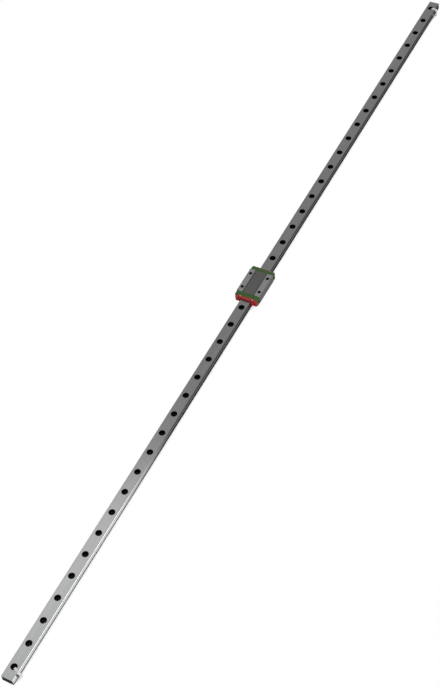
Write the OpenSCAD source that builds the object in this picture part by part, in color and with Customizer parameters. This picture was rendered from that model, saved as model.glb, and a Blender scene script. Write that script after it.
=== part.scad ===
// Miniature profile rail guide: a ground steel rail with one recirculating-ball carriage.
// X runs along the rail, Z is up, and the origin is the middle of the rail's base.

/* [Rail] */
// Length of the rail
rail_l = 1000; // [200:25:2000]
// Width of the rail
rail_w = 12; // [12:0.1:13]
// Height of the rail
rail_h = 8; // [7.5:0.1:10]
// Bevel along the rail's long edges
rail_bevel = 0.4; // [0.1:0.05:0.6]
// Bevel across the rail's sawn ends
rail_end_bevel = 0.5; // [0.1:0.1:1.5]

/* [Rail holes] */
// Distance from one mounting hole to the next
hole_pitch = 25; // [15:1:60]
// Distance from the rail's end to its last hole
hole_end = 12.5; // [8:0.5:20]
// Diameter of the screw hole
hole_d = 3.5; // [3.4:0.1:4.5]
// Diameter of the counterbore for the screw's head
head_d = 6; // [5:0.1:7]
// Depth of the counterbore
head_depth = 4.5; // [3:0.1:5.5]
// Bevel at the counterbore's mouth
mouth_bevel = 0.2; // [0.05:0.05:0.4]

/* [Carriage] */
// Place of the carriage along the rail, from the middle
carriage_x = -5; // [-60:1:60]
// Width of the carriage
car_w = 27; // [26:0.5:32]
// Length of the steel block
block_l = 32.4; // [28:0.1:60]
// Height of the carriage's top above the rail's base
car_top = 13; // [12.5:0.1:16]
// Gap below the carriage
car_foot = 3; // [2.5:0.1:3.5]
// Bevel along the block's edges
block_bevel = 0.5; // [0.2:0.1:0.8]
// Width of the relieved strip along the top
relief_w = 14; // [8:0.5:15]
// Depth of the relieved strip
relief_depth = 0.3; // [0.1:0.05:0.6]
// Gap between the block and the rail's sides
side_gap = 0.7; // [0.4:0.05:0.8]
// Gap between the block and the rail's top
roof_gap = 0.6; // [0.3:0.05:0.8]

/* [Tapped holes] */
// Distance between the tapped holes, along the rail
tap_x = 20; // [12:1:24]
// Distance between the tapped holes, across the rail
tap_y = 20; // [20:0.5:22]
// Outer diameter of the tapped holes' thread
tap_d = 3; // [2:0.1:3]
// Depth of the tapped holes
tap_depth = 3.5; // [2:0.1:4]
// Bevel at a tapped hole's mouth
tap_bevel = 0.3; // [0.1:0.05:0.5]

/* [Balls] */
// Diameter of a ball
ball_d = 2.381; // [2.2:0.001:2.4]
// Height of the ball circuits above the rail's base
ball_z = 5.4; // [5:0.1:5.8]
// Distance from the rail's side out to the loaded balls' centres
ball_out = 0.35; // [0.2:0.05:0.5]
// Distance across a circuit, from loaded to returning balls
turn_d = 3.4; // [3.1:0.1:3.8]
// Free room round a loaded ball in its grooves
ball_gap = 0.03; // [0.02:0.01:0.06]
// How much larger than a ball the groove's arcs are
groove_over = 0.07; // [0.07:0.01:0.1]
// Free room round a returning ball
return_gap = 0.25; // [0.1:0.05:0.3]
// Gap from one ball to the next
ball_space = 0.08; // [0.02:0.01:0.3]
// Diameter of the wire that keeps the balls in
wire_d = 0.4; // [0.3:0.05:0.5]
// Drop from the balls' centres to the wire
wire_drop = 1.55; // [1.5:0.05:1.7]

/* [End caps and seals] */
// Thickness of a moulded end cap
cap_t = 4.8; // [4:0.1:8]
// How far the cap stays inside the block's outline
cap_inset = 0.2; // [0.1:0.1:0.8]
// Drop from the block's top to the cap's
cap_drop = 0.5; // [0.3:0.1:1]
// Width of the slope at the cap's upper corners
cap_corner_w = 3; // [1:0.1:4]
// Height of that slope
cap_corner_h = 1; // [0.5:0.1:1.5]
// Bevel round the cap's outer face
cap_edge = 0.3; // [0.1:0.05:0.5]
// Gap between the cap and the rail
cap_gap = 0.45; // [0.3:0.05:0.6]
// Thickness of an end seal
seal_t = 1.7; // [1.5:0.1:2.5]
// Thickness of the seal's upright rim, next to the cap
seal_rim = 0.3; // [0.2:0.05:0.5]
// How far the seal's top slopes down, past its rim
seal_slope = 2; // [1.2:0.1:2.2]
// How far the seal's sides lean in, past its rim
seal_lean = 0.8; // [0.3:0.1:1.2]
// How far the seal stays inside the cap's outline
seal_inset = 0.3; // [0.2:0.05:0.6]
// Gap between the seal's lip and the rail
lip_gap = 0.1; // [0.08:0.01:0.2]

/* [End screws] */
// Distance between the screws of one end
screw_y = 14; // [12:0.1:15]
// Height of the screws above the rail's base
screw_z = 10.6; // [10:0.1:10.7]
// Diameter of a screw's shank
screw_d = 1.6; // [1.2:0.1:1.8]
// Diameter of a screw's head
screw_head_d = 2.8; // [2.4:0.1:3]
// Height of a screw's head
screw_head_h = 0.7; // [0.5:0.05:0.9]
// Width of a screw's cross recess
screw_slot = 0.45; // [0.3:0.05:0.6]
// Length of thread in the block
screw_grip = 4; // [2:0.5:6]
// Free room round a screw
screw_gap = 0.1; // [0.05:0.01:0.2]

/* [Cable ties] */
// Width of a tie's strap
strap_w = 2.5; // [2:0.1:2.6]
// Thickness of a tie's strap
strap_t = 1; // [0.7:0.05:1.05]
// Length of a tie's head, across the rail
tie_head_l = 5.2; // [4.5:0.1:6]
// Width of a tie's head
tie_head_w = 4.6; // [3.6:0.1:5]
// Height of a tie's head
tie_head_h = 3.4; // [2.5:0.1:4]
// Depth of the open pocket round the cut end, in the head's underside
tie_pocket = 0.8; // [0.4:0.1:1.5]
// Radius of the strap's tight bends round its hole's rim, at its middle
strap_bend = 0.8; // [0.6:0.05:1]
// How far the strap's loop stands off the rail's side
strap_slack = 1.7; // [0.3:0.1:3]
// How far the near tie leans towards the near end, as it leaves the hole
near_lean = 22; // [0:0.5:24]
// How far the far tie leans towards the near end
far_lean = 7; // [0:0.5:12]
// How far a tie sits beside its hole's axis, towards the near end
tie_shift = 0.3; // [0:0.05:0.3]
// How far a tie sits off its hole's axis, towards the rail's side
strap_play = 0.1; // [0:0.05:0.1]
// Gap between a tie and the rail
tie_gap = 0.05; // [0.02:0.01:0.1]

/* [Hidden] */
$fn = 48;
bend_steps = 8;

// Rail: the holes are centred on the rail, as many as the ends leave room for.
holes = floor((rail_l - 2 * hole_end) / hole_pitch) + 1;
first_hole = -(holes - 1) * hole_pitch / 2;
through = 1;

// Ball circuits: y is measured from the middle of the rail.
ball_r = ball_d / 2;
groove_r = ball_r + groove_over;
groove_shift = (groove_over - ball_gap) * cos(45);
load_y = rail_w / 2 + ball_out;
return_y = load_y + turn_d;
turn_r = turn_d / 2;
turn_y = load_y + turn_r;
return_r = ball_r + return_gap;
circuit = 2 * block_l + PI * turn_d;
ball_step = turn_r * 2 * asin((ball_d + ball_space) / turn_d) * PI / 180;
balls = floor(circuit / ball_step);

// Carriage: x is measured from the middle of the block.
block_h = car_top - car_foot;
channel_y = rail_w / 2 + side_gap;
channel_z = rail_h + roof_gap;
cap_x = block_l / 2;
seal_x = cap_x + cap_t;
seal_top = car_top - cap_drop - seal_inset;
screw_seat = seal_x + seal_rim + (seal_top - screw_z - screw_head_d / 2) * (seal_t - seal_rim) / seal_slope;
screw_tip = cap_x - screw_grip;
wire_end = cap_x + cap_t / 2;

// A cable tie's middle line, across the rail (y) and up (z), from the head to the cut end.
// The side run stands off so far that a leaning strap's corner clears the rail.
strap_in = -strap_play;
strap_edge = strap_w / 2 + tie_shift;
strap_loop = strap_slack + strap_t / 2;
strap_top = rail_h + tie_gap + strap_t / 2;
strap_under = -2 * tie_gap - strap_t / 2;
strap_rim = -sqrt(pow(head_d / 2, 2) - pow(strap_edge, 2)) + strap_t;
tie_bottom = -tie_gap - tie_head_h;
function strap_side(lean) =
    -(rail_w / 2 + tie_gap + strap_edge * sin(lean)) / cos(lean) - strap_loop;
function strap_path(lean) = [
    [strap_in, strap_under], [strap_side(lean), strap_under], [strap_side(lean), strap_top],
    [strap_rim, strap_top], [strap_in, rail_h - head_depth + strap_t], [strap_in, tie_bottom + tie_pocket / 2]
];
// The radius of each corner of that line.
strap_radii = [0, strap_loop, strap_loop, strap_bend, strap_bend, 0];

// Stretches a section drawn across the rail (y, z) along X, about x = 0.
module along(len) {
    rotate([90, 0, 90]) linear_extrude(height = len, center = true) children();
}

// A slab's section: its upper corners slope by top = [width, height], and its lower ones by a bevel.
module section(w, z0, z1, top, low) {
    polygon([
        [-w / 2 + low, z0], [w / 2 - low, z0], [w / 2, z0 + low], [w / 2, z1 - top[1]],
        [w / 2 - top[0], z1], [-w / 2 + top[0], z1], [-w / 2, z1 - top[1]], [-w / 2, z0 + low]
    ]);
}

// A section made a plate from x = 0 to x = t, whose top, sides and foot lean in where x is past its rim.
module leaning_plate(t, rim, w, z0, z1, top, side, foot) {
    x0 = -through;
    x1 = t + through;
    function inward(by, x) = by * (x - rim) / (t - rim);
    intersection() {
        translate([t / 2, 0, 0]) along(t) children();
        rotate([90, 0, 0]) linear_extrude(height = w + 2 * through, center = true)
            polygon([
                [x0, z0 + inward(foot, x0)], [x1, z0 + inward(foot, x1)],
                [x1, z1 - inward(top, x1)], [x0, z1 - inward(top, x0)]
            ]);
        linear_extrude(height = z1 + through)
            polygon([
                [x0, inward(side, x0) - w / 2], [x1, inward(side, x1) - w / 2],
                [x1, w / 2 - inward(side, x1)], [x0, w / 2 - inward(side, x0)]
            ]);
    }
}

// A gothic groove in each side: what two arcs share, whose centres lie a little past the ball's centre,
// so that a ball comes near the groove at 45 degrees above and below. side is 1 in the rail, -1 in the block.
module gothic(side) {
    for (s = [-1, 1])
        intersection_for(up = [-1, 1])
            translate([s * (load_y + side * groove_shift), ball_z + up * groove_shift])
                circle(r = groove_r);
}

module rail() {
    color([0.62, 0.63, 0.64])
    difference() {
        along(rail_l)
            difference() {
                section(rail_w, 0, rail_h, [rail_bevel, rail_bevel], rail_bevel);
                gothic(1);
            }
        for (i = [0 : holes - 1])
            translate([first_hole + i * hole_pitch, 0, 0]) {
                translate([0, 0, -through]) cylinder(d = hole_d, h = rail_h + 2 * through);
                translate([0, 0, rail_h - head_depth]) cylinder(d = head_d, h = head_depth + through);
                translate([0, 0, rail_h - mouth_bevel])
                    cylinder(d1 = head_d, d2 = head_d + 4 * mouth_bevel, h = 2 * mouth_bevel);
            }
        for (s = [-1, 1])
            translate([s * rail_l / 2, 0, rail_h]) rotate([0, 45, 0])
                cube([rail_end_bevel * sqrt(2), rail_w + 2 * through, rail_end_bevel * sqrt(2)], center = true);
    }
}

// Moves what belongs to the carriage to its place, turned round for its far end.
module on_carriage(end = 1) {
    translate([carriage_x, 0, 0]) mirror([end < 0 ? 1 : 0, 0, 0]) children();
}

module carriage_block() {
    color([0.66, 0.66, 0.67])
    on_carriage()
    difference() {
        along(block_l)
            difference() {
                section(car_w, car_foot, car_top, [block_bevel, block_bevel], block_bevel);
                translate([-channel_y, car_foot - through]) square([2 * channel_y, channel_z - car_foot + through]);
                translate([-relief_w / 2, car_top - relief_depth]) square([relief_w, relief_depth + through]);
                gothic(-1);
                for (s = [-1, 1]) {
                    translate([s * return_y, ball_z]) circle(r = return_r);
                    translate([s * load_y, ball_z - wire_drop]) circle(d = wire_d + screw_gap);
                }
            }
        for (x = [-tap_x / 2, tap_x / 2], y = [-tap_y / 2, tap_y / 2])
            translate([x, y, car_top]) {
                translate([0, 0, -tap_depth]) cylinder(d = tap_d, h = tap_depth + through);
                translate([0, 0, -tap_bevel])
                    cylinder(d1 = tap_d, d2 = tap_d + 4 * tap_bevel, h = 2 * tap_bevel);
            }
        for (e = [-1, 1], s = [-1, 1])
            translate([e * (cap_x + through), s * screw_y / 2, screw_z]) rotate([0, -90 * e, 0])
                cylinder(d = screw_d + 2 * screw_gap, h = screw_grip + screw_gap + through);
    }
}

// Half of a ring of balls' room: the turn-round between the loaded and the returning row.
module turn_round() {
    translate([cap_x, turn_y, ball_z]) rotate([0, 0, -90])
        rotate_extrude(angle = 180) translate([turn_r, 0]) circle(r = return_r);
}

module end_cap(end) {
    w = car_w - 2 * cap_inset;
    foot = car_foot + cap_inset;
    top = car_top - cap_drop;
    color([0.16, 0.36, 0.18])
    on_carriage(end)
    difference() {
        translate([cap_x, 0, 0])
            leaning_plate(cap_t, cap_t - cap_edge, w, foot, top, cap_edge, cap_edge, cap_edge)
                difference() {
                    section(w, foot, top, [cap_corner_w, cap_corner_h], block_bevel);
                    translate([-rail_w / 2 - cap_gap, 0]) square([rail_w + 2 * cap_gap, rail_h + cap_gap]);
                }
        for (s = [0, 1]) mirror([0, s, 0]) {
            turn_round();
            translate([cap_x - through, load_y, ball_z - wire_drop]) rotate([0, 90, 0])
                cylinder(d = wire_d + screw_gap, h = wire_end - cap_x + through + screw_gap);
            translate([cap_x - through, screw_y / 2, screw_z]) rotate([0, 90, 0])
                cylinder(d = screw_d + 2 * screw_gap, h = cap_t + 2 * through);
        }
    }
}

module end_seal(end) {
    w = car_w - 2 * (cap_inset + seal_inset);
    foot = car_foot + cap_inset + seal_inset;
    color([0.72, 0.12, 0.12])
    on_carriage(end)
    difference() {
        translate([seal_x, 0, 0])
            leaning_plate(seal_t, seal_rim, w, foot, seal_top, seal_slope, seal_lean, seal_rim)
                difference() {
                    section(w, foot, seal_top, [cap_corner_w, cap_corner_h], block_bevel);
                    rail_clear();
                }
        for (s = [-1, 1])
            translate([0, s * screw_y / 2, screw_z]) rotate([0, 90, 0]) {
                cylinder(d = screw_d + 2 * screw_gap, h = seal_x + seal_t + through);
                translate([0, 0, screw_seat]) cylinder(d = screw_head_d + 2 * screw_gap, h = seal_t + through);
            }
    }
}

// The rail's section grown by the lip's gap: its nose reaches into the rail's grooves.
module rail_clear() {
    difference() {
        translate([-rail_w / 2 - lip_gap, -through]) square([rail_w + 2 * lip_gap, rail_h + lip_gap + through]);
        for (s = [-1, 1])
            translate([s * load_y, ball_z]) circle(r = ball_r - lip_gap);
    }
}

module end_screw(end, side) {
    color([0.75, 0.75, 0.76])
    on_carriage(end)
    translate([0, side * end * screw_y / 2, screw_z]) rotate([0, 90, 0])
        difference() {
            union() {
                translate([0, 0, screw_tip]) cylinder(d = screw_d, h = screw_seat - screw_tip + screw_head_h / 2);
                translate([0, 0, screw_seat]) cylinder(d = screw_head_d, h = screw_head_h);
            }
            for (a = [0, 90]) rotate([0, 0, a])
                translate([-screw_head_d / 3, -screw_slot / 2, screw_seat + screw_head_h / 2])
                    cube([screw_head_d / 1.5, screw_slot, screw_head_h]);
        }
}

// Where a ball lies: d is the distance along the circuit from the loaded row's middle.
function ball_at(d) =
    let (half = block_l / 2, arc = PI * turn_r)
    d < half ? [d, load_y]
    : d < half + arc ? turn_point(half, (d - half) / turn_r)
    : d < 3 * half + arc ? [2 * half + arc - d, return_y]
    : d < 3 * half + 2 * arc ? turn_point(-half, (d - 3 * half - arc) / turn_r + PI)
    : [d - 4 * half - 2 * arc, load_y];

function turn_point(x, t) =
    [x + turn_r * sin(t * 180 / PI), turn_y - turn_r * cos(t * 180 / PI)];

module bearing_balls(side) {
    color([0.8, 0.8, 0.82])
    on_carriage()
    for (i = [0 : balls - 1])
        let (p = ball_at(i * circuit / balls))
            translate([p[0], side * p[1], ball_z]) sphere(d = ball_d, $fn = 24);
}

module retaining_wire(side) {
    color([0.7, 0.7, 0.72])
    on_carriage()
    translate([-wire_end, side * load_y, ball_z - wire_drop]) rotate([0, 90, 0])
        cylinder(d = wire_d, h = 2 * wire_end, $fn = 24);
}

function unit(v) = v / norm(v);
function turned(v, a) = [v[0] * cos(a) - v[1] * sin(a), v[0] * sin(a) + v[1] * cos(a)];
function angle_between(u, v) = atan2(u[0] * v[1] - u[1] * v[0], u * v);

// Stations [point, normal] along the arc of radius r that rounds corner b of a path a, b, c.
function rounded_corner(a, b, c, r) =
    let (u = unit(b - a), v = unit(c - b), t = angle_between(u, v), n = turned(u, 90) * sign(t),
         centre = b - u * r * tan(abs(t) / 2) + n * r)
    [for (i = [0 : bend_steps])
        let (m = turned(n, t * i / bend_steps)) [centre - m * r, m * sign(t)]];

// Stations along a whole path, with its inner corners rounded by the radii r.
function rounded_path(p, r) = [
    [p[0], turned(unit(p[1] - p[0]), 90)],
    for (i = [1 : len(p) - 2]) each rounded_corner(p[i - 1], p[i], p[i + 1], r[i]),
    [p[len(p) - 1], turned(unit(p[len(p) - 1] - p[len(p) - 2]), 90)]
];

// The strap seen from the side: half a thickness to each side of its rounded middle line.
module strap_section(lean) {
    line = rounded_path(strap_path(lean), strap_radii);
    polygon(concat(
        [for (s = line) s[0] + s[1] * strap_t / 2],
        [for (i = [len(line) - 1 : -1 : 0]) line[i][0] - line[i][1] * strap_t / 2]
    ));
}

module tie_head() {
    difference() {
        translate([-tie_head_w / 2, strap_in - tie_head_l / 2, tie_bottom])
            cube([tie_head_w, tie_head_l, tie_head_h]);
        translate([-strap_w / 2 - strap_play, strap_in - strap_t / 2 - strap_play, tie_bottom - through])
            cube([strap_w + 2 * strap_play, strap_t + 2 * strap_play, tie_pocket + through]);
    }
}

module cable_tie(end) {
    lean = end < 0 ? near_lean : far_lean;
    color([0.92, 0.92, 0.9])
    translate([-end * first_hole, 0, 0]) rotate([0, 0, -lean]) translate([-tie_shift, 0, 0]) {
        along(strap_w) strap_section(lean);
        tie_head();
    }
}

rail();
carriage_block();
end_cap(-1);  // end_cap_near
end_cap(1);  // end_cap_far
end_seal(-1);  // end_seal_near
end_seal(1);  // end_seal_far
end_screw(-1, 1);  // screw_near_left
end_screw(-1, -1);  // screw_near_right
end_screw(1, 1);  // screw_far_left
end_screw(1, -1);  // screw_far_right
bearing_balls(1);  // bearing_balls_left
bearing_balls(-1);  // bearing_balls_right
retaining_wire(1);  // retaining_wire_left
retaining_wire(-1);  // retaining_wire_right
cable_tie(-1);  // tie_near
cable_tie(1);  // tie_far
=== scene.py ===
"""A miniature linear guide: a drilled profile rail tied at both ends, with one ball carriage on it.

The steel, the moulded caps and seals and the balls are the model's own solids with new finishes.
Worked out here as surfaces are the two moulded nylon cable ties, the carriage's end screws, the
threads in its four tapped holes and the rubber lips of the seals. Sizes are in millimetres.
"""

import bpy
import numpy as np
from mathutils import Matrix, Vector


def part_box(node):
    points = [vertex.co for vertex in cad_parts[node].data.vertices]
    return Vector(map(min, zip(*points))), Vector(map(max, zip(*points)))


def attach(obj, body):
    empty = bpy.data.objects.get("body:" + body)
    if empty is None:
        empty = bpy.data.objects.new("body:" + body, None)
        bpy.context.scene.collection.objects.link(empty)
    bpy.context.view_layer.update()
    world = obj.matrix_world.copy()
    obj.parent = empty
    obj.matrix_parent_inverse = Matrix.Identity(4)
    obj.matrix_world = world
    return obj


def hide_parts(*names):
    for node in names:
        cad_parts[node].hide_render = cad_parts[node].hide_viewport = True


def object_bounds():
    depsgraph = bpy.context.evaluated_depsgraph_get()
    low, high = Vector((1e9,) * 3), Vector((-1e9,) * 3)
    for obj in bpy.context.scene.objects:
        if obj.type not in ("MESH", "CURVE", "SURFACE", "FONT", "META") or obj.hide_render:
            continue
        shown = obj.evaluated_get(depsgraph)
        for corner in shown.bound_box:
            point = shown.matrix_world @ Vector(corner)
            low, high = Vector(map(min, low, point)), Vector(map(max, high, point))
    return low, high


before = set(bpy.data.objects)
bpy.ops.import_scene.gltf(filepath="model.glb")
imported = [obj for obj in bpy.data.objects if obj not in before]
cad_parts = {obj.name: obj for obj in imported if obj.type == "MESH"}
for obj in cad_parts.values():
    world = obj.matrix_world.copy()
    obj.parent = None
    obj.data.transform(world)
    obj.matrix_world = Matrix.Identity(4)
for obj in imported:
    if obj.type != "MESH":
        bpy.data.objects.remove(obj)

MM = 0.001  # one millimetre in the scene's metres
CAD_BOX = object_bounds()

# ---------------------------------------------------------------- sizes, in millimetres
# The rail with its raceways and counterbored holes, and the block with its ground pads.
RAIL_LOW, RAIL_HIGH = (np.array(corner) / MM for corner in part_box("rail"))
BLOCK_LOW, BLOCK_HIGH = (np.array(corner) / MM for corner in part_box("carriage_block"))
RAIL_WIDTH = RAIL_HIGH[1] - RAIL_LOW[1]
RAIL_HEIGHT = RAIL_HIGH[2]
RACEWAY_FOOT = 3.9
HOLE_PITCH = 25.0
FIRST_HOLE = -487.5
HEAD_RADIUS = 3.0
HEAD_DEPTH = 4.5
# Radius of the painted shade round each hole's mouth.
MOUTH_SHADE_RADIUS = 3.45
BLOCK_MIDDLE = (BLOCK_LOW[0] + BLOCK_HIGH[0]) / 2
PAD_INNER, PAD_OUTER = 7.0, 13.0

# The tapped holes of the carriage.
THREAD_SPACING = 20.0
THREAD_RADIUS = 1.5
THREAD_PITCH = 0.5
THREAD_DEPTH = 0.24
THREAD_LENGTH = 3.1
THREAD_START = 0.3
THREAD_RUN_IN = 0.35
# Radius of the painted shade round each tapped hole.
THREAD_SHADE_RADIUS = 1.9

# The cable ties: strap, teeth, place and lean on the rail, and head.
STRAP_WIDTH = 2.5
STRAP_THICKNESS = 1.0
STRAP_TRIM = 0.01
STRAP_PLAY = 0.1
STRAP_BEND = 0.8
STRAP_SLACK = 1.7
TOOTH_PITCH = 0.9
TOOTH_DEPTH = 0.16
TIE_GAP = 0.05
TIE_SHIFT = 0.3
TIE_LEAN = {-1: np.radians(22), 1: np.radians(7)}
TIE_HEAD_WIDTH = 4.6
TIE_HEAD_LENGTH = 5.2
TIE_HEAD_HEIGHT = 3.4
SLOT_PLAY = 0.06

# The seals' lips: how far they stand off the rail, their bead, and their ends.
LIP_OUT = 0.42
LIP_RADIUS = 0.26
LIP_CORNER = 0.7
LIP_FOOT = 0.75
LIP_TAPER = 0.5

# The end screws and their cross recess.
SCREW_CROWN = 0.55
SCREW_HEAD_HEIGHT = 0.7
SCREW_SHANK_RADIUS = 0.8
SCREW_ROUND = 0.05
SCREW_TIP = 0.2
CROSS_WIDTH = 0.42
CROSS_REACH = 0.9
CROSS_DEPTH = 0.5

# What the names call each end of X and each side of Y.
ENDS = {-1: "near", 1: "far"}
SIDES = {-1: "right", 1: "left"}

# The camera's place, its turn in radians, and its lens and sensor width.
CAMERA_PLACE = -854.692, -506.553, 1155.172
CAMERA_YAW, CAMERA_PITCH, CAMERA_ROLL = 0.5837, -0.8969, -0.1381
CAMERA_LENS, CAMERA_SENSOR = 74.454, 36.0


# ---------------------------------------------------------------- surfaces
def piece_from_grid(name, points, round_u, round_v, material, body):
    """A mesh whose vertex (i, j) is points[i, j]: one quad to each cell, and a seam is closed where
    its parameter comes round. An open side that ends in a small ring is capped by one face."""
    rows, columns = points.shape[:2]
    number = np.arange(rows * columns).reshape(rows, columns)
    i = np.arange(rows if round_u else rows - 1)[:, None]
    j = np.arange(columns if round_v else columns - 1)[None, :]
    k, m = (i + 1) % rows, (j + 1) % columns
    faces = np.stack([number[i, j], number[k, j], number[k, m], number[i, m]], -1).reshape(-1, 4).tolist()
    if not round_u and round_v:
        faces += [number[0].tolist(), number[-1, ::-1].tolist()]
    mesh = bpy.data.meshes.new(name)
    mesh.from_pydata((points.reshape(-1, 3) * MM).tolist(), [], faces)
    mesh.polygons.foreach_set("use_smooth", np.ones(len(mesh.polygons), bool))
    mesh.materials.append(material)
    mesh.update()
    piece = bpy.data.objects.new(name, mesh)
    bpy.context.scene.collection.objects.link(piece)
    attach(piece, body)
    return piece


def turned(v, angle):
    """Vectors v turned by an angle: (x cos - y sin, x sin + y cos)."""
    c, s = np.cos(angle), np.sin(angle)
    return np.stack([v[..., 0] * c - v[..., 1] * s, v[..., 0] * s + v[..., 1] * c], -1)


def bent_line(corners, radii, step):
    """Points along a line of straight runs, each inner corner rounded by an arc of its own radius
    that is tangent to both runs; then evenly spaced again by arc length. Returns the points, their
    tangents and their arc lengths."""
    corners = np.array(corners, float)
    parts = [corners[:1]]
    for a, b, c, radius in zip(corners[:-2], corners[1:-1], corners[2:], radii):
        u, v = (b - a) / np.linalg.norm(b - a), (c - b) / np.linalg.norm(c - b)
        turn = np.arctan2(u[0] * v[1] - u[1] * v[0], u @ v)
        inward = turned(u, np.pi / 2) * np.sign(turn)
        centre = b - u * radius * np.tan(abs(turn) / 2) + inward * radius
        parts.append(centre - turned(inward, np.linspace(0, turn, 25)) * radius)
    parts.append(corners[-1:])
    line = np.concatenate(parts)
    run = np.concatenate([[0], np.cumsum(np.linalg.norm(np.diff(line, axis=0), axis=1))])
    even = np.linspace(0, run[-1], int(run[-1] / step) + 1)
    line = np.stack([np.interp(even, run, line[:, 0]), np.interp(even, run, line[:, 1])], -1)
    tangent = np.gradient(line, axis=0)
    return line, tangent / np.linalg.norm(tangent, axis=1)[:, None], even


def rounded_oblong(angle, half_x, half_y, power):
    """A superellipse: x = half_x * cos^(2/power), y = half_y * sin^(2/power), with their signs kept."""
    c, s = np.cos(angle), np.sin(angle)
    return np.stack([half_x * np.sign(c) * np.abs(c) ** (2 / power),
                     half_y * np.sign(s) * np.abs(s) ** (2 / power)], -1)


def placed_tie(points, end):
    """Shifts a tie's points sideways, leans them about the upright axis and sets them on the end hole."""
    flat = turned(points[..., :2] - (TIE_SHIFT, 0), -TIE_LEAN[end])
    return np.concatenate([flat - (end * FIRST_HOLE, 0), points[..., 2:]], -1)


def tie_strap(end, name, material):
    """The strap: an oblong section carried along the tie's bent line. Its point is
    line(s) + normal * across + x * along, where the inner face sinks by one saw tooth of depth
    TOOTH_DEPTH for each TOOTH_PITCH of s over the middle of the strap's width."""
    lean = TIE_LEAN[end]
    edge = STRAP_WIDTH / 2 + TIE_SHIFT
    loop = STRAP_SLACK + STRAP_THICKNESS / 2
    under = -2 * TIE_GAP - STRAP_THICKNESS / 2
    side = -(RAIL_WIDTH / 2 + TIE_GAP + edge * np.sin(lean)) / np.cos(lean) - loop
    top = RAIL_HEIGHT + TIE_GAP + STRAP_THICKNESS / 2
    rim = -np.sqrt(HEAD_RADIUS ** 2 - edge ** 2) + STRAP_THICKNESS * 0.6
    line, tangent, s = bent_line(
        [(-STRAP_PLAY, under), (side, under), (side, top), (rim, top),
         (-STRAP_PLAY, RAIL_HEIGHT - HEAD_DEPTH + STRAP_THICKNESS),
         (-STRAP_PLAY, -TIE_GAP - TIE_HEAD_HEIGHT + 0.4)], (loop, loop, STRAP_BEND, STRAP_BEND), 0.1)
    normal = turned(tangent, -np.pi / 2)
    angle = np.linspace(0, 2 * np.pi, 48, endpoint=False)
    section = rounded_oblong(angle, STRAP_WIDTH / 2 - STRAP_TRIM, STRAP_THICKNESS / 2 - STRAP_TRIM, 6)
    tooth = 1 - np.mod(s[:, None] / TOOTH_PITCH, 1)
    inner = (section[:, 1] > 0) * np.clip((STRAP_WIDTH * 0.3 - np.abs(section[:, 0])) / 0.2, 0, 1)
    across = section[None, :, 1] - TOOTH_DEPTH * tooth * inner[None, :]
    yz = line[:, None, :] + normal[:, None, :] * across[..., None]
    x = np.broadcast_to(section[None, :, 0], across.shape)
    points = placed_tie(np.stack([x, yz[..., 0], yz[..., 1]], -1), end)
    return piece_from_grid(name, points[::-1], False, True, material, "rail")


def tie_head(end, name, material):
    """The head: a closed ring round its slot. Going round v, a point leaves the slot's mouth, crosses
    the top, goes down the outside and comes back under it, up through the slot; going round u it
    follows an oblong that grows from the slot's to the head's by that same share."""
    z0, z1 = -TIE_GAP - TIE_HEAD_HEIGHT, -TIE_GAP
    share, height = np.array([
        (0.00, z1 - 0.30), (0.06, z1 - 0.10), (0.16, z1), (0.84, z1), (0.95, z1 - 0.10), (1.00, z1 - 0.40),
        (1.00, z1 - 1.20), (0.97, z1 - 1.35), (0.97, z0 + 1.10), (1.00, z0 + 0.95), (1.00, z0 + 0.40),
        (0.95, z0 + 0.10), (0.84, z0), (0.24, z0), (0.14, z0 + 0.10), (0.10, z0 + 0.50), (0.00, z0 + 0.80)
    ]).T[:, None, :, None]
    angle = np.linspace(0, 2 * np.pi, 96, endpoint=False)
    slot = rounded_oblong(angle, STRAP_WIDTH / 2 + SLOT_PLAY, STRAP_THICKNESS / 2 + SLOT_PLAY, 8)
    outer = rounded_oblong(angle, TIE_HEAD_WIDTH / 2, TIE_HEAD_LENGTH / 2, 9)
    plan = slot[:, None, :] + (outer - slot)[:, None, :] * share
    points = np.concatenate([plan[..., :1], plan[..., 1:] - STRAP_PLAY,
                             np.broadcast_to(height, plan[..., :1].shape)], -1)
    return piece_from_grid(name, placed_tie(points[::-1], end), True, True, material, "rail")


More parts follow.
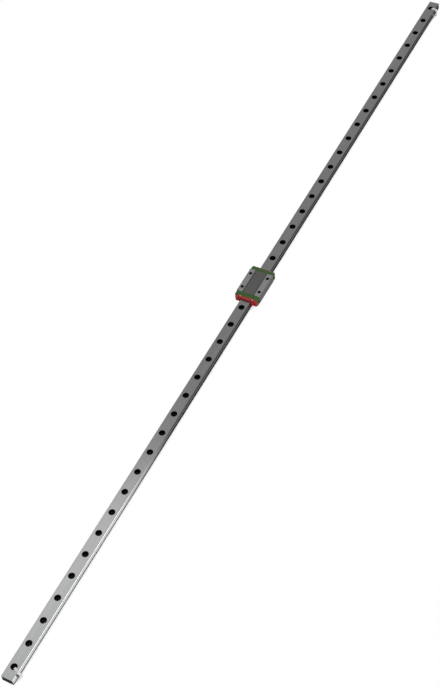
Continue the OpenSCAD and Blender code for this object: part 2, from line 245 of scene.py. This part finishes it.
def end_screw(solid, name, material):
    """A pan head screw turned about its axis: the crown sinks by crown * (1 - sqrt(1 - (r / R)^4)) at
    radius r, and along both arms of the cross recess it sinks further, less towards the arms' ends;
    then come the rim, the underside, the shank and the tip's bevel."""
    low, high = (np.array(corner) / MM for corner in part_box(solid))
    middle, radius = (low + high) / 2, (high[1] - low[1]) / 2
    end = np.sign(middle[0] - BLOCK_MIDDLE)
    face, length = (high[0] if end > 0 else low[0]), high[0] - low[0]
    crown = radius * np.sin(np.linspace(0.005, np.pi / 2, 56))
    sunk = SCREW_CROWN * (1 - np.sqrt(1 - (crown / radius).clip(0, 1) ** 4))
    seat, shank, soft = SCREW_HEAD_HEIGHT, SCREW_SHANK_RADIUS, SCREW_ROUND
    below = np.array([(radius, seat - soft), (radius - soft, seat), (shank + soft, seat),
                      (shank, seat + soft), (shank, length - SCREW_TIP),
                      (shank - SCREW_TIP, length), (0.02, length)])
    r = np.concatenate([crown, below[:, 0]])[:, None]
    depth = np.concatenate([sunk, below[:, 1]])[:, None]
    angle = np.linspace(0, 2 * np.pi, 128, endpoint=False)[None, :]
    across = r * np.minimum(np.abs(np.cos(angle)), np.abs(np.sin(angle)))
    along = r * np.maximum(np.abs(np.cos(angle)), np.abs(np.sin(angle)))
    wall = ((CROSS_WIDTH / 2 - across) / 0.06 + 0.5).clip(0, 1)
    floor = ((CROSS_REACH - along) / 0.12).clip(0, 1) * (1 - 0.4 * along / CROSS_REACH)
    recess = wall * floor * (np.arange(len(r)) < len(crown))[:, None]
    points = np.stack([face - end * (depth + CROSS_DEPTH * recess), middle[1] + r * np.cos(angle),
                       middle[2] + r * np.sin(angle)], -1)
    order = 1 if end > 0 else -1
    screw = piece_from_grid(name, points[::order], False, True, material, "carriage")
    # The recess value is stored on the screw; the screw_steel finish paints shade into the cross recess by
    # it.
    screw.data.attributes.new("recess", "FLOAT", "POINT").data.foreach_set("value", recess[::order].ravel())
    return screw


def seal_lip(end, name, material):
    """The rubber lip round a seal's opening: a bead of round section, flattened on its outer side,
    carried along the line up one side of the rail, over it and down the other. The bead thins to
    nothing at both feet by the square root of the distance to the foot."""
    half, crown, foot = RAIL_WIDTH / 2 + LIP_OUT, RAIL_HEIGHT + LIP_OUT, BLOCK_LOW[2] + LIP_FOOT
    line, tangent, s = bent_line([(-half, foot), (-half, crown), (half, crown), (half, foot)],
                                 (LIP_CORNER, LIP_CORNER), 0.12)
    normal = turned(tangent, np.pi / 2)
    angle = np.linspace(0, 2 * np.pi, 20, endpoint=False)
    swell = np.sqrt(np.clip(np.minimum(s, s[-1] - s) / LIP_TAPER, 0.01, 1))[:, None]
    across = LIP_RADIUS * swell * np.cos(angle)[None, :]
    out = LIP_RADIUS * swell * np.clip(np.sin(angle), -0.9, 0.75)[None, :]
    yz = line[:, None, :] + normal[:, None, :] * across[..., None]
    face = BLOCK_MIDDLE + end * (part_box("end_seal_far")[1].x / MM - BLOCK_MIDDLE)
    points = np.stack([face + end * out, yz[..., 0], yz[..., 1]], -1)
    return piece_from_grid(name, points[::-1] if end > 0 else points, False, True, material, "carriage")


def thread_sleeve(x, y, name, material):
    """A cut thread: round the axis by angle a and down by depth d, the radius is the outer radius less
    a trapezoid of the phase d / pitch - a / turn; the way back up runs on the hole's own wall, so the
    sleeve closes on itself."""
    turn = np.linspace(0, 2 * np.pi, 48, endpoint=False)[:, None]
    depth = np.linspace(0, THREAD_LENGTH, 75)[None, :]
    phase = np.mod(depth / THREAD_PITCH - turn / (2 * np.pi), 1)
    ridge = np.clip(2.7 * (1 - np.abs(2 * phase - 1)) - 0.6, 0, 1)
    run_in = np.clip(np.minimum(depth, THREAD_LENGTH - depth) / THREAD_RUN_IN, 0, 1)
    inner = THREAD_RADIUS - 0.03 - THREAD_DEPTH * ridge * run_in
    back = np.broadcast_to(np.linspace(THREAD_LENGTH, 0, 6), (len(turn), 6))
    radius = np.concatenate([inner, np.full(back.shape, THREAD_RADIUS - 0.01)], 1)
    down = np.concatenate([np.broadcast_to(depth, inner.shape), back], 1)
    points = np.stack([x + radius * np.cos(turn), y + radius * np.sin(turn),
                       BLOCK_HIGH[2] - THREAD_START - down], -1)
    return piece_from_grid(name, points, True, True, material, "carriage")


# ---------------------------------------------------------------- finishes
def put(tree, socket, value):
    """Links a socket to another, or sets it to a plain value."""
    if isinstance(value, bpy.types.NodeSocket):
        tree.links.new(value, socket)
    else:
        socket.default_value = value


def node(tree, kind, *values, **settings):
    """A shader node with its settings, and its first inputs filled in their order."""
    made = tree.nodes.new("ShaderNode" + kind)
    for name, value in settings.items():
        setattr(made, name, value)
    for socket, value in zip(made.inputs, values):
        if value is not None:
            put(tree, socket, value)
    return made


def calc(tree, operation, a, b=0.0):
    """One step of arithmetic on two values, such as ADD or MAXIMUM."""
    return node(tree, "Math", a, b, operation=operation).outputs[0]


def plus(tree, a, b):
    """a + b."""
    return calc(tree, "ADD", a, b)


def minus(tree, a, b):
    """a - b."""
    return calc(tree, "SUBTRACT", a, b)


def times(tree, a, b):
    """a * b."""
    return calc(tree, "MULTIPLY", a, b)


def distance(tree, a, b):
    """The distance from the origin of a point with these two coordinates."""
    return calc(tree, "SQRT", plus(tree, calc(tree, "POWER", a, 2.0), calc(tree, "POWER", b, 2.0)))


def eased(tree, value, start, stop, low=0.0, high=1.0):
    """A smooth step of value, from low at start to high at stop."""
    return node(tree, "MapRange", value, start, stop, low, high, interpolation_type="SMOOTHSTEP").outputs[0]


def blended(tree, share, a, b):
    """Colour a, turning into colour b as share goes from 0 to 1."""
    made = tree.nodes.new("ShaderNodeMix")
    made.data_type = "RGBA"
    for index, value in ((0, share), (6, a), (7, b)):
        put(tree, made.inputs[index], value)
    return made.outputs[2]


def grain(tree, place, stretch, detail=4.0, roughness=0.6):
    """Noise over the piece's own coordinates, with this many grains to the metre along X, Y and Z."""
    moved = node(tree, "Mapping", place, (0, 0, 0), (0, 0, 0), stretch).outputs[0]
    return node(tree, "TexNoise", moved, None, 1.0, detail, roughness).outputs[0]


def new_finish(name, metallic=0.0):
    """A material with its node tree, its shader and the piece's own coordinates."""
    material = bpy.data.materials.new(name)
    material.use_nodes = True
    tree = material.node_tree
    shader = tree.nodes["Principled BSDF"]
    shader.inputs["Metallic"].default_value = metallic
    return material, tree, shader, node(tree, "TexCoord").outputs["Object"]


def xyz(tree, place):
    """A vector's three parts."""
    return node(tree, "SeparateXYZ", place).outputs


def clouded(tree, shader, noise, start, stop, dark, light):
    """Base colour between two like colours, by how far the noise lies between start and stop."""
    put(tree, shader.inputs["Base Color"],
        blended(tree, eased(tree, noise, start, stop), (*dark, 1), (*light, 1)))


def relief(tree, shader, height, strength, tallest):
    """A bump whose full height is the tallest, in metres."""
    bump = tree.nodes.new("ShaderNodeBump")
    put(tree, bump.inputs["Strength"], strength)
    put(tree, bump.inputs["Distance"], tallest)
    put(tree, bump.inputs["Height"], height)
    tree.links.new(bump.outputs[0], shader.inputs["Normal"])


def ground_rail_steel():
    """Hardened steel, ground lengthwise: fine lines along X, a darker flank below the raceway, dull saw-cut
    ends darkened as painted shade, and painted shade inside the holes and round their mouths."""
    material, tree, shader, place = new_finish("ground_rail_steel", 1.0)
    x, y, z = xyz(tree, place)
    lines = grain(tree, place, (18, 5200, 5200), 5.0, 0.7)
    stain = grain(tree, place, (9, 160, 160), 3.0)
    outside = eased(tree, calc(tree, "ABSOLUTE", y), 4.9 * MM, 5.4 * MM)
    flank = times(tree, outside, eased(tree, z, (RACEWAY_FOOT + 0.4) * MM, RACEWAY_FOOT * MM))
    # The saw-cut ends: rougher, and coloured dark as painted shade.
    sawn_end_shade = eased(tree, calc(tree, "ABSOLUTE", x), (RAIL_HIGH[0] - 0.12) * MM, (RAIL_HIGH[0] - 0.04) * MM)
    # Painted shade: the holes' walls and a ring round their mouths are coloured near black.
    pitches = plus(tree, calc(tree, "DIVIDE", minus(tree, x, FIRST_HOLE * MM), HOLE_PITCH * MM), 0.5)
    along = times(tree, minus(tree, calc(tree, "FRACT", pitches), 0.5), HOLE_PITCH * MM)
    mouth = eased(tree, distance(tree, along, y), MOUTH_SHADE_RADIUS * MM, (MOUTH_SHADE_RADIUS - 0.15) * MM)
    painted_bore_shade = times(tree, mouth, eased(tree, z, 0.1 * MM, 0.3 * MM))
    worn = eased(tree, lines, 0.3, 0.75, 0.92, 1.06)
    colour = blended(tree, eased(tree, stain, 0.35, 0.7), (0.54, 0.55, 0.55, 1), (0.585, 0.585, 0.58, 1))
    colour = blended(tree, flank, colour, (0.46, 0.465, 0.47, 1))
    colour = blended(tree, sawn_end_shade, colour, (0.17, 0.17, 0.17, 1))
    colour = blended(tree, painted_bore_shade, colour, (0.02, 0.02, 0.021, 1))
    shade = node(tree, "VectorMath", colour, operation="SCALE")
    put(tree, shade.inputs["Scale"], worn)
    put(tree, shader.inputs["Base Color"], shade.outputs[0])
    put(tree, shader.inputs["Roughness"], plus(tree, eased(tree, lines, 0.3, 0.7, 0.11, 0.17),
                                               times(tree, calc(tree, "MAXIMUM", sawn_end_shade, painted_bore_shade), 0.3)))
    relief(tree, shader, lines, 0.03, 0.00001)
    return material


def ground_block_steel():
    """The carriage's steel: two ground pads, a duller strip sunk between them with painted shade along its
    edges, satin sides, and painted shade in the tapped holes.
    """
    material, tree, shader, place = new_finish("ground_block_steel", 1.0)
    x, y, z = xyz(tree, place)
    lines = grain(tree, place, (60, 4200, 4200), 5.0, 0.7)
    cloud = grain(tree, place, (140, 140, 140), 3.0)
    side = calc(tree, "ABSOLUTE", y)
    top = BLOCK_HIGH[2]
    strip = times(tree, eased(tree, z, (top - 0.6) * MM, (top - 0.4) * MM),
                  eased(tree, side, (PAD_INNER + 0.05) * MM, (PAD_INNER - 0.05) * MM))
    # Painted shade: the strip darkens towards its edges, at the foot of the pads' step.
    edge = times(tree, strip, eased(tree, side, (PAD_INNER - 2.0) * MM, (PAD_INNER - 0.4) * MM))
    flank = calc(tree, "MAXIMUM", eased(tree, side, (PAD_OUTER + 0.05) * MM, (PAD_OUTER + 0.3) * MM),
                 eased(tree, z, (top - 0.1) * MM, (top - 0.3) * MM))
    flank = times(tree, flank, eased(tree, side, (PAD_INNER + 0.1) * MM, (PAD_INNER + 0.4) * MM))
    # Painted shade: the tapped holes' walls and mouths are coloured near black.
    half = THREAD_SPACING / 2 * MM
    aside = minus(tree, calc(tree, "ABSOLUTE", minus(tree, x, BLOCK_MIDDLE * MM)), half)
    painted_bore_shade = eased(tree, distance(tree, aside, minus(tree, side, half)),
                  THREAD_SHADE_RADIUS * MM, (THREAD_SHADE_RADIUS - 0.1) * MM)
    colour = blended(tree, eased(tree, cloud, 0.35, 0.7), (0.53, 0.535, 0.54, 1), (0.57, 0.57, 0.565, 1))
    colour = blended(tree, strip, colour, (0.195, 0.19, 0.187, 1))
    colour = blended(tree, edge, colour, (0.12, 0.116, 0.115, 1))
    colour = blended(tree, flank, colour, (0.5, 0.505, 0.51, 1))
    colour = blended(tree, painted_bore_shade, colour, (0.02, 0.02, 0.021, 1))
    put(tree, shader.inputs["Base Color"], colour)
    dull = plus(tree, times(tree, strip, 0.12), times(tree, calc(tree, "MAXIMUM", flank, painted_bore_shade), 0.3))
    put(tree, shader.inputs["Roughness"], plus(tree, eased(tree, lines, 0.3, 0.7, 0.22, 0.3), dull))
    relief(tree, shader, lines, 0.04, 0.00001)
    return material


def moulded_green():
    """Glass-filled green nylon of the caps: faintly mottled, with a fine spark-eroded grain."""
    material, tree, shader, place = new_finish("moulded_green")
    cloud = grain(tree, place, (260, 260, 260), 4.0)
    spark = grain(tree, place, (9000, 9000, 9000), 2.0)
    clouded(tree, shader, cloud, 0.35, 0.68, (0.022, 0.074, 0.0105), (0.031, 0.092, 0.0145))
    put(tree, shader.inputs["Roughness"], eased(tree, spark, 0.3, 0.7, 0.34, 0.46))
    relief(tree, shader, spark, 0.25, 0.00002)
    return material


def moulded_red():
    """Glossy red of the end seals, a little darker where it was handled."""
    material, tree, shader, place = new_finish("moulded_red")
    cloud = grain(tree, place, (300, 300, 300), 4.0)
    spark = grain(tree, place, (6000, 6000, 6000), 2.0)
    clouded(tree, shader, cloud, 0.35, 0.68, (0.29, 0.011, 0.0095), (0.355, 0.016, 0.013))
    put(tree, shader.inputs["Roughness"], eased(tree, spark, 0.3, 0.7, 0.2, 0.3))
    relief(tree, shader, spark, 0.1, 0.00001)
    return material


def cut_thread():
    """Steel of the tapped holes, coloured near black as painted shade, with oily patches."""
    material, tree, shader, place = new_finish("cut_thread", 1.0)
    oil = grain(tree, place, (1400, 1400, 1400), 3.0)
    # Painted shade: the thread is coloured near black, with oily patches.
    clouded(tree, shader, oil, 0.35, 0.68, (0.012, 0.012, 0.013), (0.025, 0.025, 0.026))
    put(tree, shader.inputs["Roughness"], eased(tree, oil, 0.3, 0.7, 0.4, 0.55))
    relief(tree, shader, oil, 0.1, 0.00001)
    return material


def shaded_lip_rubber():
    """The seals' lips: rubber with a dusty bloom, coloured a dark copy of the seal's red as painted shade
    where the seal meets the rail.
    """
    material, tree, shader, place = new_finish("shaded_lip_rubber")
    bloom = grain(tree, place, (1500, 1500, 1500), 3.0)
    # Painted shade: the lips take a dark red-brown where the seal meets the rail.
    clouded(tree, shader, bloom, 0.35, 0.68, (0.075, 0.012, 0.01), (0.12, 0.022, 0.018))
    put(tree, shader.inputs["Roughness"], eased(tree, bloom, 0.3, 0.7, 0.45, 0.6))
    relief(tree, shader, bloom, 0.1, 0.00001)
    return material


def screw_steel():
    """Plated steel screws with turned rings, and painted shade in the cross recess where the piece's own
    recess value is high.
    """
    material, tree, shader, place = new_finish("screw_steel", 1.0)
    rings = grain(tree, place, (1200, 5200, 5200), 3.0)
    colour = blended(tree, eased(tree, rings, 0.35, 0.68), (0.52, 0.51, 0.49, 1), (0.66, 0.65, 0.63, 1))
    # Painted shade: the cross recess is coloured near black.
    recess = eased(tree, node(tree, "Attribute", attribute_name="recess").outputs["Fac"], 0.1, 0.6)
    put(tree, shader.inputs["Base Color"], blended(tree, recess, colour, (0.09, 0.088, 0.085, 1)))
    put(tree, shader.inputs["Roughness"], eased(tree, rings, 0.3, 0.7, 0.22, 0.36))
    relief(tree, shader, rings, 0.2, 0.00001)
    return material


def polished_balls():
    """Lapped bearing balls with the faintest haze of oil."""
    material, tree, shader, place = new_finish("polished_balls", 1.0)
    haze = grain(tree, place, (900, 900, 900), 3.0)
    clouded(tree, shader, haze, 0.35, 0.68, (0.7, 0.7, 0.71), (0.78, 0.77, 0.75))
    put(tree, shader.inputs["Roughness"], eased(tree, haze, 0.3, 0.7, 0.06, 0.14))
    return material


def natural_nylon():
    """Milky cable-tie nylon: light passes a little way in, and the moulding is faintly cloudy."""
    material, tree, shader, place = new_finish("natural_nylon")
    cloud = grain(tree, place, (700, 700, 700), 4.0)
    clouded(tree, shader, cloud, 0.3, 0.7, (0.56, 0.56, 0.54), (0.64, 0.64, 0.62))
    put(tree, shader.inputs["Roughness"], eased(tree, cloud, 0.3, 0.7, 0.32, 0.46))
    shader.inputs["Subsurface Weight"].default_value = 0.25
    shader.inputs["Subsurface Radius"].default_value = (0.001, 0.001, 0.0009)
    shader.inputs["Subsurface Scale"].default_value = 1.0
    relief(tree, shader, cloud, 0.1, 0.00002)
    return material


# ---------------------------------------------------------------- studio
def stage_sheet(name, height):
    """A flat stage sheet, 12 m square, at this height. Returns it and the node tree of its material."""
    mesh = bpy.data.meshes.new(name)
    corners = [(-6, -6, height), (6, -6, height), (6, 6, height), (-6, 6, height)]
    mesh.from_pydata(corners, [], [(0, 1, 2, 3)])
    sheet = bpy.data.objects.new(name, mesh)
    bpy.context.scene.collection.objects.link(sheet)
    material = bpy.data.materials.new(name)
    material.use_nodes = True
    tree = material.node_tree
    tree.nodes.remove(tree.nodes["Principled BSDF"])
    mesh.materials.append(material)
    return sheet, tree


def shining(tree, light):
    """Makes a stage sheet's material give off this much white light."""
    shine = node(tree, "Emission", (1, 1, 1, 1), light)
    tree.links.new(shine.outputs[0], tree.nodes["Material Output"].inputs["Surface"])


def pale_floor():
    """A plain white floor under the ties' heads, with a painted shadow only where the rail stands close
    over it.
    """
    floor, tree = stage_sheet("floor", CAD_BOX[0].z)
    floor.visible_glossy = floor.visible_diffuse = False
    near = node(tree, "AmbientOcclusion", samples=8)
    near.inputs["Distance"].default_value = 8 * MM
    # Painted shadow: the floor's glow drops with ambient occlusion.
    shining(tree, eased(tree, near.outputs["AO"], 0.15, 0.52))


def table():
    """What polished steel mirrors from below: a dark table with a lighter band along each side of the
    rail, and a narrow white card beside the rail's near end."""
    sheet, tree = stage_sheet("table", CAD_BOX[0].z - 0.05 * MM)
    sheet.visible_camera = sheet.visible_diffuse = sheet.visible_shadow = sheet.visible_transmission = False
    x, y, z = xyz(tree, node(tree, "TexCoord").outputs["Object"])
    away = calc(tree, "ABSOLUTE", y)
    band = times(tree, eased(tree, away, 12 * MM, 20 * MM, 0.03, 0.32),
                 eased(tree, away, 24 * MM, 40 * MM, 1.0, 0.35))
    card = times(tree, eased(tree, x, -190 * MM, -320 * MM),
                 eased(tree, y, -8.3 * MM, -10 * MM, 0.1, 3.2))
    card = times(tree, card, eased(tree, y, -12.8 * MM, -11.4 * MM))
    shining(tree, calc(tree, "MAXIMUM", band, card))


def studio_light():
    """Light by direction (x, y, z). Overhead a mid-grey tent with a long softbox across it and a round
    key near its top; a low card beyond the near end; and bounced light from below."""
    world = bpy.data.worlds.new("studio")
    world.use_nodes = True
    bpy.context.scene.world = world
    tree = world.node_tree
    way = node(tree, "TexCoord").outputs["Generated"]
    x, y, z = xyz(tree, way)
    softbox = times(tree, eased(tree, x, 0.15, 0.31), eased(tree, x, 0.45, 0.405))
    tent = plus(tree, times(tree, softbox, 0.55), eased(tree, z, 0.25, 0.6, 0.08, 0.31))
    toward = node(tree, "VectorMath", way, (-0.15, -0.15, 0.977), operation="DOT_PRODUCT").outputs["Value"]
    key = eased(tree, toward, 0.91, 0.97, 0.0, 5.5)
    facing = times(tree, eased(tree, x, -0.72, -0.85), eased(tree, z, 0.45, 0.3, 0.0, 0.75))
    above = plus(tree, plus(tree, tent, key), facing)
    rays = node(tree, "LightPath")
    aside = node(tree, "VectorMath", way, (-0.7, -0.64, -0.32), operation="DOT_PRODUCT").outputs["Value"]
    bounce = eased(tree, aside, 0.5, 0.95, 0.9, 2.3)
    below = plus(tree, times(tree, rays.outputs["Is Diffuse Ray"], bounce), 0.03)
    up = eased(tree, z, -0.04, 0.04)
    light = plus(tree, times(tree, above, up), times(tree, below, minus(tree, 1.0, up)))
    seen = rays.outputs["Is Camera Ray"]
    light = plus(tree, times(tree, light, minus(tree, 1.0, seen)), seen)
    background = tree.nodes["Background"]
    put(tree, background.inputs["Strength"], light)
    background.inputs["Color"].default_value = (1, 1, 1, 1)


def camera():
    """A long lens above the rail's low-x, low-y end."""
    yaw, pitch, roll = CAMERA_YAW, CAMERA_PITCH, CAMERA_ROLL
    ahead = np.array([np.cos(pitch) * np.cos(yaw), np.cos(pitch) * np.sin(yaw), np.sin(pitch)])
    level = np.array([np.sin(yaw), -np.cos(yaw), 0])
    over = np.cross(level, ahead)
    right = np.cos(roll) * level + np.sin(roll) * over
    up = np.cos(roll) * over - np.sin(roll) * level
    lens = bpy.data.cameras.new("camera")
    lens.lens, lens.sensor_width = CAMERA_LENS, CAMERA_SENSOR
    lens.clip_start, lens.clip_end = 0.05, 30
    seen = bpy.data.objects.new("camera", lens)
    bpy.context.scene.collection.objects.link(seen)
    turn = np.eye(4)
    turn[:3] = np.stack([right, up, -ahead, np.array(CAMERA_PLACE) * MM], 1)
    seen.matrix_world = Matrix(turn.tolist())
    bpy.context.scene.camera = seen


# ---------------------------------------------------------------- making
camera()
studio_light()
pale_floor()
table()
bpy.context.scene.view_settings.view_transform = "Standard"

STEEL, BLOCK, GREEN, RED = ground_rail_steel(), ground_block_steel(), moulded_green(), moulded_red()
SCREW, BALL, NYLON, RUBBER = screw_steel(), polished_balls(), natural_nylon(), shaded_lip_rubber()
THREAD = cut_thread()
FINISH = {"rail": STEEL, "carriage_block": BLOCK, "end_cap_near": GREEN, "end_cap_far": GREEN,
          "end_seal_near": RED, "end_seal_far": RED, "tie_near": NYLON, "tie_far": NYLON,
          "bearing_balls_left": BALL, "bearing_balls_right": BALL}
for name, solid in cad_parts.items():
    solid.data.materials.clear()
    solid.data.materials.append(FINISH.get(name, SCREW))

for end, where in ENDS.items():
    strap = tie_strap(end, "cable_tie_strap_" + where, NYLON)
    head = tie_head(end, "cable_tie_head_" + where, NYLON)
    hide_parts("tie_" + where)
    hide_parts("tie_" + where)

for end, where in ENDS.items():
    seal_lip(end, "seal_lip_" + where, RUBBER)

for place in ("near_left", "near_right", "far_left", "far_right"):
    screw = end_screw("screw_" + place, "end_screw_" + place, SCREW)
    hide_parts("screw_" + place)

for end, where in ENDS.items():
    for side, hand in SIDES.items():
        sleeve = thread_sleeve(BLOCK_MIDDLE + end * THREAD_SPACING / 2, side * THREAD_SPACING / 2,
                               "thread_%s_%s" % (where, hand), THREAD)
